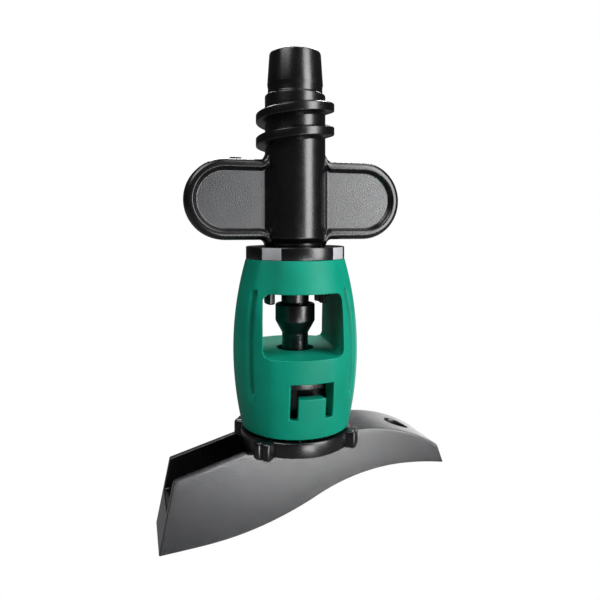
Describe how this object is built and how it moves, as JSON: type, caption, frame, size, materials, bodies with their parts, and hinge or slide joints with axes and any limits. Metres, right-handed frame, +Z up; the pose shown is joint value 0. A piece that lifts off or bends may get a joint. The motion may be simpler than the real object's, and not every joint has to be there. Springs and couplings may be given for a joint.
{
  "type": "rotary micro sprinkler",
  "caption": "Hanging rotary mini-sprinkler with a threaded inlet connector, finger handles, open bridge body and a wide winged rotor that spins.",
  "frame": {"origin": "centre of the inlet mouth, at the top of the nose", "axes": "+Z up along the sprinkler's axis and out of the inlet; X along the two finger handles and the rotor's arms at rest; -Y is the front"},
  "size_m": [0.0567, 0.0246, 0.0932],
  "materials": {
    "black_acetal": "satin injection-moulded acetal",
    "green_acetal": "satin injection-moulded acetal",
    "seal_rubber": "moulded nitrile rubber",
    "bearing_plastic": "natural low-friction plastic",
    "stainless_steel": "drawn and turned stainless steel"
  },
  "bodies": {
    "connector": {"inlet_connector": "black_acetal", "connector_seal": "seal_rubber", "nozzle_carrier": "black_acetal", "nozzle": "black_acetal", "nozzle_seal": "seal_rubber"},
    "bridge": {"bridge_body": "green_acetal", "bearing_cartridge": "black_acetal", "upper_seal": "seal_rubber", "upper_bush": "bearing_plastic", "lower_bush": "bearing_plastic", "cartridge_cover": "black_acetal", "lower_seal": "seal_rubber", "thrust_washer": "bearing_plastic"},
    "rotor": {"swivel_cup": "black_acetal", "stem_tube": "stainless_steel", "wear_washer": "stainless_steel", "rotor_collar": "black_acetal", "rotor_wing": "black_acetal", "jet_deflector": "black_acetal", "retaining_ring": "stainless_steel"}
  },
  "joints": [
    {"name": "bayonet_twist", "type": "hinge", "parent": "connector", "child": "bridge", "pos_m": [0, 0, -0.047], "axis": [0, 0, 1], "range_deg": [0, 40]},
    {"name": "rotor_spin", "type": "hinge", "parent": "bridge", "child": "rotor", "pos_m": [0, 0, -0.067], "axis": [0, 0, 1], "continuous": true}
  ]
}
